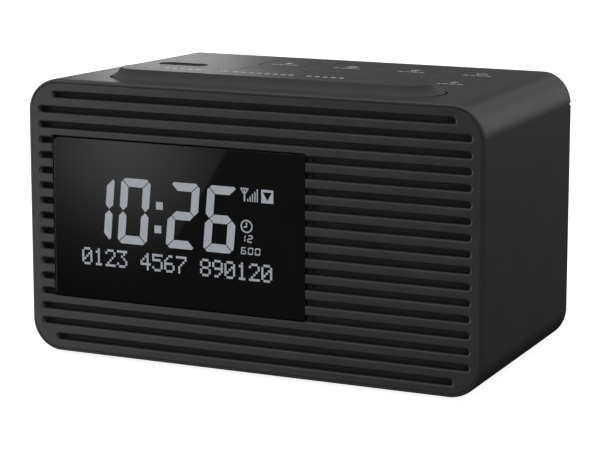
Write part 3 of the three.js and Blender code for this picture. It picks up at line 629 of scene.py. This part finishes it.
def display_window():
    """Glossy pane. Its thin edge is matt, so that it doesn't catch the light."""
    lip = 0.15
    rings = []
    for inset, depth in fillet(lip):
        outline = rounded(
            WINDOW_LOW.x + inset, WINDOW_HIGH.x - inset, WINDOW_LOW.z + inset, WINDOW_HIGH.z - inset,
            (WINDOW_RADIUS - inset, WINDOW_INNER_RADIUS - inset), 14)
        rings.append(across_y(outline, WINDOW_LOW.y + depth))
    rings.append([(x, WINDOW_HIGH.y, z) for x, _, z in rings[-1]])
    pane = paint(loft("window_pane", rings), GLASS, LENS)
    for face in pane.data.polygons:
        face.material_index = 0 if face.normal.y < -0.9 else 1
    return piece(smooth(pane), "radio", "display_window")


display_window()


MARK_LEVELS = (-0.01, 0.02)
HALF_RING_STEPS = 20


class Marks:
    """Thin flat shapes on a face: each polygon becomes a shallow prism."""

    def __init__(self, place):
        self.place = place
        self.points = []
        self.faces = []

    def polygon(self, outline):
        count, first = len(outline), len(self.points)
        for level in MARK_LEVELS:
            self.points += [self.place(x, y, level) for x, y in outline]
        low, high = range(first, first + count), range(first + count, first + 2 * count)
        self.faces += [tuple(low), tuple(high)]
        self.faces += [(low[i], low[(i + 1) % count], high[(i + 1) % count], high[i]) for i in range(count)]

    def bar(self, left, right, low, high):
        self.polygon([(left, low), (right, low), (right, high), (left, high)])

    def ring(self, x, y, radius, width, start=0, end=360):
        middle = (start + end) / 2
        for a, b in ((start, middle), (middle, end)):
            outer = arc((x, y), radius, a, b, HALF_RING_STEPS)
            inner = arc((x, y), radius - width, b, a, HALF_RING_STEPS)
            self.polygon(outer + inner)

    def stroke(self, a, b, width):
        a, b = Vector(a), Vector(b)
        side = (b - a).normalized().orthogonal() * width / 2
        self.polygon([a - side, b - side, b + side, a + side])

    def row(self, left, count, pitch, width, low, high):
        for index in range(count):
            self.bar(left + pitch * index, left + pitch * index + width, low, high)

    def object(self, name):
        return mesh_of(name, self.points, self.faces)


SEGMENTS_ON = {"0": "abcdef", "1": "bc", "2": "abged", "6": "afgedc"}
DIGIT_SLANT = 0.088
FIGURES_X, FIGURES_Z = 0.26, 0.45
TIME_LOW, TIME_HEIGHT, TIME_WIDTH, TIME_STROKE, TIME_GAP = 42.8, 24.3, 12.3, 3.1, 0.22
DOT_WIDTH, DOT_HEIGHT, DOT_PITCH_X, DOT_PITCH_Z = 0.81, 0.86, 0.87, 0.92
DOT_ROW_LEFT, DOT_ROW_LOW, DOT_FIGURE_PITCH = -68.6, 33.6, 4.95


def seven_segments(width, height, stroke, gap):
    """Outlines of the seven bars of a digit, with mitred ends."""
    chamfer, half, middle = stroke * 0.45, stroke / 2, height / 2
    top = [
        (chamfer / 2 + gap, height - chamfer / 2), (chamfer + gap, height), (width - chamfer - gap, height),
        (width - chamfer / 2 - gap, height - chamfer / 2), (width - stroke - gap, height - stroke),
        (stroke + gap, height - stroke),
    ]
    upper = [
        (chamfer / 2, height - chamfer / 2 - gap), (0, height - chamfer - gap), (0, middle + half + gap),
        (half, middle + gap), (stroke, middle + half + gap), (stroke, height - stroke - gap),
    ]
    centre = [
        (half + gap, middle), (stroke + gap, middle + half), (width - stroke - gap, middle + half),
        (width - half - gap, middle), (width - stroke - gap, middle - half), (stroke + gap, middle - half),
    ]

    def turned_over(points):
        return [(x, height - y) for x, y in points]

    def other_side(points):
        return [(width - x, y) for x, y in points]

    return {
        "a": top, "b": other_side(upper), "c": other_side(turned_over(upper)), "d": turned_over(top),
        "e": turned_over(upper), "f": upper, "g": centre,
    }


DOT_DIGITS = {
    "0": "01110 10001 10011 10101 11001 10001 01110",
    "1": "00100 01100 00100 00100 00100 00100 01110",
    "2": "01110 10001 00001 00010 00100 01000 11111",
    "3": "11111 00010 00100 00010 00001 10001 01110",
    "4": "00010 00110 01010 10010 11111 00010 00010",
    "5": "11111 10000 11110 00001 00001 10001 01110",
    "6": "00110 01000 10000 11110 10001 10001 01110",
    "7": "11111 00001 00010 00100 01000 01000 01000",
    "8": "01110 10001 10001 01110 10001 10001 01110",
    "9": "01110 10001 10001 01111 00001 00010 01100",
}


def display_marks():
    """Time, small symbols and a row of dot-matrix figures. The figures are generic."""
    face = WINDOW_LOW.y
    marks = Marks(lambda x, z, level: (x + FIGURES_X, face - level, z + FIGURES_Z))

    def digit(text, left, low, width, height, stroke, gap):
        outlines = seven_segments(width, height, stroke, gap)
        for bar in SEGMENTS_ON[text]:
            marks.polygon([(left + x + DIGIT_SLANT * y, low + y) for x, y in outlines[bar]])

    for text, left in (("1", -68.6), ("0", -53.5), ("2", -33.3), ("6", -17.9)):
        digit(text, left, Z_BOTTOM + TIME_LOW, TIME_WIDTH, TIME_HEIGHT, TIME_STROKE, TIME_GAP)
    for z in (57.9, 49.2):
        shift = DIGIT_SLANT * (z - TIME_LOW)
        marks.bar(-38.4 + shift, -35.6 + shift, Z_BOTTOM + z - 1.4, Z_BOTTOM + z + 1.4)

    # Aerial with rising bars, arrow in a box, clock face, small numbers.
    base = Z_BOTTOM + 62.3
    marks.bar(-1.3, -0.7, base, base + 4.7)
    marks.bar(-2.6, 0.6, base + 4.3, base + 4.8)
    marks.stroke((-2.4, base + 4.4), (-1.0, base + 2.4), 0.4)
    marks.stroke((0.4, base + 4.4), (-1.0, base + 2.4), 0.4)
    for index in range(5):
        left = 0.1 + 0.95 * index
        marks.bar(left, left + 0.45, base, base + 1 + 0.92 * index)
    centre_x, centre_z, half = 8.1, Z_BOTTOM + 64.6, 2.4
    for side in (-1, 1):
        outline = [(0, -half), (half, -half), (half, half), (0, half), (0, 1.5), (1.8, 1.5), (0, -1.6)]
        marks.polygon([(centre_x + side * x, centre_z + z) for x, z in outline])
    marks.ring(-0.2, Z_BOTTOM + 53.3, 2.4, 0.5)
    marks.stroke((-0.2, Z_BOTTOM + 53.2), (-0.2, Z_BOTTOM + 54.8), 0.45)
    marks.stroke((0, Z_BOTTOM + 53.2), (-1.5, Z_BOTTOM + 52.9), 0.45)
    for text, left in (("1", -2.9), ("2", 0)):
        digit(text, left, Z_BOTTOM + 47.5, 2.1, 2.7, 0.45, 0.05)
    for text, left in (("6", -2.6), ("0", 0.2), ("0", 3.0)):
        digit(text, left, Z_BOTTOM + 43.1, 2.1, 2.6, 0.42, 0.05)

    for place, text in enumerate("0123 4567 890120"):
        if text == " ":
            continue
        for row, cells in enumerate(DOT_DIGITS[text].split()):
            for column, cell in enumerate(cells):
                if cell == "1":
                    left = DOT_ROW_LEFT + place * DOT_FIGURE_PITCH + column * DOT_PITCH_X
                    high = Z_BOTTOM + DOT_ROW_LOW + (7 - row) * DOT_PITCH_Z
                    marks.bar(left, left + DOT_WIDTH, high - DOT_HEIGHT, high)
    made = paint(marks.object("display_figures"), SEGMENT)
    return piece(made, "radio")


display_marks()

# ---- Snooze bar and keys ----


def stem(x, y, radius, low, high):
    return loft("stem", [across_z(circle(x, y, radius, 24), z) for z in (low, high)])


def legend(made, marks):
    """Adds printed marks to a piece, in ink as its last material."""
    ink = marks.object("ink")
    made.data.materials.append(INK)
    index = len(made.data.materials) - 1
    work = bmesh.new()
    work.from_mesh(made.data)
    first = len(work.faces)
    work.from_mesh(ink.data)
    work.faces.ensure_lookup_table()
    for face in work.faces[first:]:
        face.material_index = index
        face.smooth = False
    work.to_mesh(made.data)
    work.free()
    mesh = ink.data
    bpy.data.objects.remove(ink, do_unlink=True)
    bpy.data.meshes.remove(mesh)


SLOPE_STEPS, SLOPE_SAG = 8, 0.35
STEM_SINK = 0.5


def snooze_bar():
    """Long raised bar with hollowed slopes, on a hidden flange and two stems."""
    flange = [(SNOOZE_BASE + FLANGE_GROW, z) for z in (FLANGE_LOW, FLANGE_HIGH)]
    rise = SNOOZE_HIGH - Z_TOP
    slope = []
    for i in range(SLOPE_STEPS + 1):
        t = i / SLOPE_STEPS
        sag = SLOPE_SAG * math.sin(math.pi * t)
        slope.append((SNOOZE_BASE + (SNOOZE_TOP + 0.15 - SNOOZE_BASE) * t - sag, Z_TOP + (rise - 0.2) * t))
    crown = [(SNOOZE_TOP + 0.02, SNOOZE_HIGH - 0.07), (SNOOZE_TOP - 0.2, SNOOZE_HIGH)]
    rings = [across_z(pill(0, SNOOZE_Y, SNOOZE_SPINE, radius, 32), z)
             for radius, z in flange + [(SNOOZE_BASE, FLANGE_HIGH)] + slope + crown]
    bar = loft("snooze_pad", rings)
    low = box_mm("snooze_bar")[0].z
    join(bar, [stem(x, SNOOZE_Y, 3, low, FLANGE_LOW + STEM_SINK) for x in (-36, 36)])
    smooth(paint(bar, KEYS))
    marks = Marks(lambda x, y, level: (x, y, SNOOZE_HIGH + level))
    y = SNOOZE_Y

    def bars(left, count):
        marks.row(left, count, 3.2, 1.8, y - 0.8, y + 0.8)

    marks.ring(-50, y, 1.9, 0.5, 50, 310)
    marks.ring(-49.2, y, 1.5, 0.4, 70, 290)
    bars(-45, 5)
    sun = Vector((-21, y))
    marks.ring(*sun, 1.3, 0.5)
    for index in range(8):
        a = math.radians(45 * index)
        ray = Vector((math.cos(a), math.sin(a)))
        marks.stroke(sun + ray * 1.8, sun + ray * 2.5, 0.4)
    bars(-16.5, 8)
    bars(13, 5)
    legend(bar, marks)
    return piece(bar, "snooze", "snooze_bar")


snooze_bar()


def key_marks(body, x, y):
    """A plain symbol or number on a key, over a row of short bars."""
    marks = Marks(lambda u, v, level: (x + u, y + v, Z_TOP + level))
    marks.row(-5.6, 4, 2.9, 2.3, -5.2, -4.4)
    if body.startswith("alarm"):
        outlines = seven_segments(2.4, 3.6, 0.55, 0.06)
        text = "1" if "1" in body else "2"
        for bar in SEGMENTS_ON[text]:
            marks.polygon([(u - 1.2, v - 1.8) for u, v in outlines[bar]])
    elif body == "minus_key":
        marks.bar(-1.8, 1.8, -0.3, 0.3)
    elif body == "plus_key":
        marks.bar(-1.8, 1.8, -0.3, 0.3)
        marks.bar(-0.3, 0.3, 0.3, 1.8)
        marks.bar(-0.3, 0.3, -1.8, -0.3)
    elif body == "source_key":
        marks.polygon([(-1.5, -1.8), (1.7, 0), (-1.5, 1.8)])
    elif body == "menu_key":
        for v in (-1.5, 0, 1.5):
            marks.bar(-2.2, 2.2, v - 0.3, v + 0.3)
    elif body == "sleep_key":
        marks.ring(0, 0, 2.1, 0.6, 50, 310)
        marks.ring(0.9, 0, 1.6, 0.45, 70, 290)
    else:
        marks.ring(0, 0, 2.1, 0.5, 115, 425)
        marks.bar(-0.25, 0.25, 0.4, 2.6)
    return marks


def keys():
    for body, node in KEYS_BY_BODY.items():
        x, y, _ = centre_mm(node)
        low = box_mm(node)[0].z
        levels = [(FLANGE_GROW, FLANGE_LOW), (FLANGE_GROW, FLANGE_HIGH), (0, FLANGE_HIGH)]
        lip = 0.25
        levels += [(-grow, Z_TOP - depth) for grow, depth in reversed(fillet(lip, 3))]
        rings = [across_z(key_outline(x, y, grow), z) for grow, z in levels]
        cap = loft(node.replace("_button", "_cap"), rings)
        join(cap, [stem(x, y, 2, low, FLANGE_LOW + STEM_SINK)])
        smooth(paint(cap, KEYS))
        legend(cap, key_marks(body, x, y))
        piece(cap, body, node)


keys()


def sensor_window():
    low, high = box_mm("sensor_lens")
    shelf = low.z + 1.6
    levels = [(LENS_FLANGE, low.z), (LENS_FLANGE, shelf), (0, shelf)]
    levels += [(-grow, high.z - depth) for grow, depth in reversed(fillet(0.3, 3))]
    made = loft("sensor_pane", [across_z(lens_outline(grow), z) for grow, z in levels])
    return piece(smooth(paint(made, LENS)), "radio", "sensor_lens")


sensor_window()

# ---- Cloth, rear cover, sockets, feet ----


def grille_cloth():
    """Flat black cloth with a cut-out round the display frame."""
    low, high = box_mm("grille_cloth")
    frame_low, frame_high = box_mm("display_frame")
    left, right = frame_low.x - CLEARANCE, frame_high.x + CLEARANCE
    bottom, top = frame_low.z - CLEARANCE, frame_high.z + CLEARANCE
    inset = FRONT_WIDTH / 2 * narrowing(high.y) - high.x
    rings = [across_y(case_outline(inset), y) for y in (low.y, high.y)]
    sheet = loft("cloth_sheet", rings)
    window = rounded(left, right, bottom, top, 1, 4)
    cut(sheet, [loft("tool", [across_y(window, y) for y in (low.y - 1, high.y + 1)])])
    piece(smooth(paint(sheet, CLOTH)), "radio", "grille_cloth")


grille_cloth()


def rear_cover():
    """Cover with vents, sunk screw holes, and openings for the power inlet and the aerial gland."""
    seam = 0.15
    outer, lip_outer, lip_inner = REAR_RIM_WALL + seam, WALL + CLEARANCE, WALL + 1.8
    lip_end = Y_COVER - COVER_LIP_DEPTH
    profile = [(outer + a, Y_REAR - b) for a, b in fillet(0.4)]
    profile += [(outer, Y_COVER), (lip_outer, Y_COVER), (lip_outer, lip_end)]
    profile += [(lip_inner, lip_end), (lip_inner, Y_COVER)]
    cover = loft("back_panel", [across_y(case_outline(inset), y, True) for inset, y in profile])
    through = Y_COVER - 1
    tools = []

    def open_rear(outline, lip, end=through):
        tools.append(opening_y("tool", outline, lip, Y_REAR, end))

    def drill(outline, start):
        tools.append(loft("tool", [across_y(outline, y) for y in (start, through)]))

    for index in range(VENT_COUNT):
        z = VENT_LOWEST + index * VENT_PITCH
        open_rear(lambda g: pill(0, z, VENT_HALF - VENT_RADIUS, VENT_RADIUS + g, 12), 0.6)
    for index in range(1, 5):
        spot = centre_mm(f"rear_screw_{index}")
        sink_end = Y_REAR - SCREW_HEAD_DEPTH - 0.6
        open_rear(lambda g: circle(spot.x, spot.z, SCREW_HEAD + CLEARANCE + g), 0.3, sink_end)
        drill(circle(spot.x, spot.z, SCREW_SHANK + CLEARANCE, 24), sink_end + 0.1)
    low, high = box_mm("dc_jack")
    left, right, bottom, top = low.x - 0.2, high.x + 0.2, low.z - 0.2, high.z + 0.2
    open_rear(lambda g: rounded(left - g, right + g, bottom - g, top + g, 0.4 + g, 4), 0.35)
    gland = centre_mm("antenna_gland")
    open_rear(lambda g: circle(gland.x, gland.z, 4.85 + g), 0.3, Y_REAR - 1.7)
    drill(circle(gland.x, gland.z, 3.2), Y_REAR - 1)
    cut(cover, tools)
    return piece(smooth(paint(cover, CASE)), "radio", "rear_cover")


rear_cover()


def power_inlet():
    """Round socket with a centre pin, in a square body."""
    low, high = box_mm("dc_jack")
    middle = (low + high) / 2

    def square(inset, y):
        outline = rounded(low.x + inset, high.x - inset, low.z + inset, high.z - inset, 1 - inset, 6)
        return across_y(outline, y)

    rings = [square(inset, high.y - depth) for inset, depth in fillet(0.5)]
    body = loft("power_inlet", rings + [square(0, low.y)])
    bore_end = high.y - 9
    cut(body, [opening_y("tool", lambda g: circle(middle.x, middle.z, 3.3 + g), 0.7, high.y, bore_end)])
    tip = high.y - 1.5
    pin = [(1, bore_end - 0.5), (1, tip - 0.6), (0.85, tip - 0.2), (0.5, tip)]
    join(body, [turned("pin", pin, middle.x, middle.z, 24)])
    return piece(smooth(paint(body, PORT)), "radio", "dc_jack")


power_inlet()


def cable_gland():
    """Rubber grommet: two flanges with a waist between them and a bore for the wire aerial."""
    low, high = box_mm("antenna_gland")
    middle = (low + high) / 2
    flange, neck, bore, depth = (high.x - low.x) / 2, 3, 1.3, 1.1
    waist = high.y - depth
    profile = [
        (bore, low.y), (flange - 0.3, low.y), (flange, low.y + 0.3),
        (flange, low.y + depth), (neck, low.y + depth), (neck, waist), (flange, waist),
        (flange, high.y - 0.4), (flange - 0.15, high.y - 0.15),
        (flange - 0.4, high.y), (bore + 0.7, high.y), (bore + 0.2, high.y - 0.2), (bore, high.y - 0.7),
    ]
    rings = [across_y(circle(middle.x, middle.z, radius), y) for radius, y in profile]
    made = loft("aerial_gland", rings, closed=True)
    return piece(smooth(paint(made, RUBBER)), "radio", "antenna_gland")


cable_gland()


def rear_screw(index):
    """Domed screw with a cross recess."""
    node = f"rear_screw_{index}"
    low, high = box_mm(node)
    middle = (low + high) / 2
    neck = high.y - SCREW_HEAD_DEPTH
    dome = ((1.2, 0), (0.5, 0.12), (0.12, 0.45), (0, 0.8))
    profile = [(SCREW_HEAD - inset, high.y - drop) for inset, drop in dome]
    profile += [(SCREW_HEAD, neck), (SCREW_SHANK, neck), (SCREW_SHANK, low.y + 1), (0.3, low.y)]
    made = turned(f"cross_screw_{index}", profile, middle.x, middle.z, 40)
    reach, half = 1.5, 0.3
    for wide, tall in ((reach, half), (half, reach)):
        wing = block("tool", (middle.x - wide, middle.x + wide), (high.y - 0.9, high.y + 1),
                     (middle.z - tall, middle.z + tall))
        cut(made, [wing])
    return piece(smooth(paint(made, SCREW_STEEL)), "radio", node)


for number in range(1, 5):
    rear_screw(number)


def foot(corner):
    """Rubber disc with a rounded edge and a shallow dish underneath."""
    node = "foot_" + corner
    low, high = box_mm(node)
    middle = (low + high) / 2

    def disc(name, levels):
        rings = [across_z(circle(middle.x, middle.y, FOOT_RADIUS - inset), low.z + z) for inset, z in levels]
        return loft(name, rings)

    made = disc(corner + "_pad", ((0.7, 0), (0.25, 0.15), (0, 0.6), (0, high.z - low.z)))
    cut(made, [disc("tool", ((2.2, -1), (2.2, 0), (2.6, 0.35)))])
    return piece(smooth(paint(made, RUBBER)), "radio", node)


for corner_name in CORNERS:
    foot(corner_name)

# ---- CAD nodes that keep their shape ----

CARRIED = {
    INNER: ("baffle", "display_frame"),
    LCD: ("lcd_panel",),
    GUIDE: ("backlight",),
    BOARD: ("key_board", "main_board"),
    FOAM: ("speaker_gasket",),
    STEEL: ("speaker_basket",),
    FERRITE: ("speaker_magnet",),
    RUBBER: ("speaker_surround",),
    PAPER: ("speaker_cone", "speaker_dust_cap"),
    COPPER: ("voice_coil",),
    TIN: ("tuner_module",),
    RIBBON: ("key_ribbon", "display_ribbon"),
    WIRE_RED: ("speaker_lead_positive",),
    WIRE_BLACK: ("speaker_lead_negative",),
    SCREW_STEEL: tuple(
        f"{kind}_screw_{i}" for kind in ("grille", "baffle", "main_board", "key_board") for i in range(1, 5)),
}


def finish_carried():
    """Gives the CAD nodes that stay visible a better material."""
    for material, names in CARRIED.items():
        for name in names:
            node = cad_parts[name]
            for spot in node.material_slots:
                spot.material = material


finish_carried()

# ---- Stage and light ----

FLOOR_SIZE = 14
FLOOR_GLOW = 0.9


def hide_from(made, *rays):
    for kind in rays:
        setattr(made, "visible_" + kind, False)


def flat_card(name, width, depth):
    mesh = bpy.data.meshes.new(name)
    w, d = width / 2, depth / 2
    mesh.from_pydata([(-w, -d, 0), (w, -d, 0), (w, d, 0), (-w, d, 0)], [], [(0, 1, 2, 3)])
    return new_object(name, mesh)


def stage():
    """Pale floor with an even glow, which only the camera sees."""
    floor = flat_card("floor", FLOOR_SIZE, FLOOR_SIZE)
    made = Shader("pale_floor", Roughness=0.9, Emission_Color=(1, 1, 1, 1), Emission_Strength=FLOOR_GLOW)
    made.colour(made.ramp(made.noise(60, 3), [(0.3, srgb(0xC8C8C8)), (0.7, srgb(0xCDCDCD))]))
    paint(floor, made.material)
    hide_from(floor, "glossy", "diffuse", "shadow", "transmission")


# Name, degrees clockwise from the rear, elevation, distance, width, height, watts.
SOFTBOXES = (
    ("rear_left", -31, 7, 2.2, 0.2, 0.4, 0.82),
    ("rear_right", 23, 12, 2.2, 0.6, 1.0, 1.6),
    ("left_fill", -126, -8, 2.2, 0.9, 0.9, 12.3),
    ("front_left", -138, -6, 2.2, 0.4, 0.9, 1.0),
    ("high_left", -146, 27, 1.6, 0.6, 0.3, 1.6),
    ("right_low", 116, -10, 2.2, 0.9, 0.8, 12.0),
)
# The same figures without the watts, for a dark card between the rear light and the sky.
FLAG = (-22, 26.5, 2.0, 1.2, 0.55)
# Glow of the surroundings against height, from 0 straight down to 1 straight up. It steps up at 0.62.
SURROUNDINGS = ((0.30, 0.0), (0.62, 0.19), (0.62, 0.316), (1.0, 1.0))
RADIO_MIDDLE = Vector((0, 0, 0.05))


def face_radio(card, azimuth, elevation, distance):
    """Places a light or card that faces the radio, at a distance in metres."""
    turn, rise = math.radians(azimuth), math.radians(elevation)
    level = math.cos(rise)
    away = Vector((math.sin(turn) * level, math.cos(turn) * level, math.sin(rise)))
    card.location = RADIO_MIDDLE + away * distance
    card.rotation_euler = (-away).to_track_quat("-Z", "Y").to_euler()


def softbox(name, azimuth, elevation, distance, width, height, watts):
    data = bpy.data.lights.new(name, "AREA")
    data.shape = "RECTANGLE"
    data.size, data.size_y = width, height
    data.energy = watts
    light = bpy.data.objects.new(name, data)
    bpy.context.scene.collection.objects.link(light)
    face_radio(light, azimuth, elevation, distance)
    hide_from(light, "camera")


def dark_flag():
    """Card that only reflections see. It draws the darker line along the top where the side starts to curve."""
    azimuth, elevation, distance, width, height = FLAG
    flag = flat_card("dark_flag", width, height)
    face_radio(flag, azimuth, elevation, distance)
    black = Shader("flag_black", Base_Color=(0, 0, 0, 1), Roughness=1.0, Specular_IOR_Level=0.0)
    paint(flag, black.material)
    hide_from(flag, "camera", "shadow", "diffuse", "transmission")


def studio_world():
    world = bpy.data.worlds.new("studio")
    bpy.context.scene.world = world
    world.use_nodes = True
    tree = world.node_tree
    place = tree.nodes.new("ShaderNodeTexCoord")
    split = tree.nodes.new("ShaderNodeSeparateXYZ")
    ramp = tree.nodes.new("ShaderNodeValToRGB")
    tree.links.new(place.outputs["Generated"], split.inputs["Vector"])
    level = tree.nodes.new("ShaderNodeMapRange")
    level.inputs["From Min"].default_value = -1
    tree.links.new(split.outputs["Z"], level.inputs["Value"])
    tree.links.new(level.outputs["Result"], ramp.inputs["Fac"])
    fill_ramp(ramp, SURROUNDINGS)
    tree.links.new(ramp.outputs["Color"], tree.nodes["Background"].inputs["Color"])


CARD_REACH = 1.5
CARD_COLUMNS, CARD_ROWS = 24, 30
CARD_LEFT, CARD_LOW, CARD_HIGH = -130, Z_BOTTOM - 20, Z_BOTTOM + 130
# The slanted edge passes through EDGE_X at EDGE_HEIGHT above the case bottom.
# It leans by EDGE_LEAN over a rise of EDGE_RISE.
EDGE_X, EDGE_HEIGHT, EDGE_LEAN, EDGE_RISE = -8, 80, 37, 59
SPOT_X, SPOT_Z, SPOT_WIDTH, SPOT_HEIGHT, SPOT_FLOOR = -50, 82, 24.5, 20, 0.03


def seen_in_window(x, z):
    """Place on the light card that shows at a point of the display window, millimetres."""
    eye = (AIM - look(AZIMUTH, ELEVATION) * DISTANCE) / MM
    spot = Vector((x, WINDOW_LOW.y, z))
    ray = spot - eye
    ray.y = -ray.y
    return spot + ray * CARD_REACH


def window_card():
    """Soft glowing spot in front and to the left. Its edge crosses the window as a slanted line."""
    points, glow = [], []
    for j in range(CARD_ROWS + 1):
        z = CARD_LOW + (CARD_HIGH - CARD_LOW) * j / CARD_ROWS
        edge = EDGE_X + EDGE_LEAN * (z - Z_BOTTOM - EDGE_HEIGHT) / EDGE_RISE
        for i in range(CARD_COLUMNS + 1):
            x = edge - (edge - CARD_LEFT) * i / CARD_COLUMNS
            across, up = (x - SPOT_X) / SPOT_WIDTH, (z - SPOT_Z) / SPOT_HEIGHT
            points.append(seen_in_window(x, z))
            glow.append(SPOT_FLOOR + math.exp(-across ** 2 / 2 - up ** 2 / 2))
    count = CARD_COLUMNS + 1
    faces = [(first, first + 1, first + count + 1, first + count)
             for first in (j * count + i for j in range(CARD_ROWS) for i in range(CARD_COLUMNS))]
    card = mesh_of("window_card", points, faces)
    attribute = card.data.attributes.new("glow", "FLOAT", "POINT")
    attribute.data.foreach_set("value", glow)
    made = bpy.data.materials.new("card_light")
    made.use_nodes = True
    tree = made.node_tree
    tree.nodes.clear()
    value = tree.nodes.new("ShaderNodeAttribute")
    value.attribute_name = "glow"
    lamp = tree.nodes.new("ShaderNodeEmission")
    out = tree.nodes.new("ShaderNodeOutputMaterial")
    tree.links.new(value.outputs["Fac"], lamp.inputs["Strength"])
    tree.links.new(lamp.outputs[0], out.inputs["Surface"])
    made.cycles.emission_sampling = "NONE"
    paint(card, made)
    hide_from(card, "camera", "shadow", "diffuse", "transmission")


def lights():
    """Dim surroundings, one card for the window's reflection, one dark card and six soft lights."""
    studio_world()
    window_card()
    dark_flag()
    for row in SOFTBOXES:
        softbox(*row)


stage()
lights()
view = bpy.context.scene.view_settings
view.view_transform = "Standard"
view.look = "None"
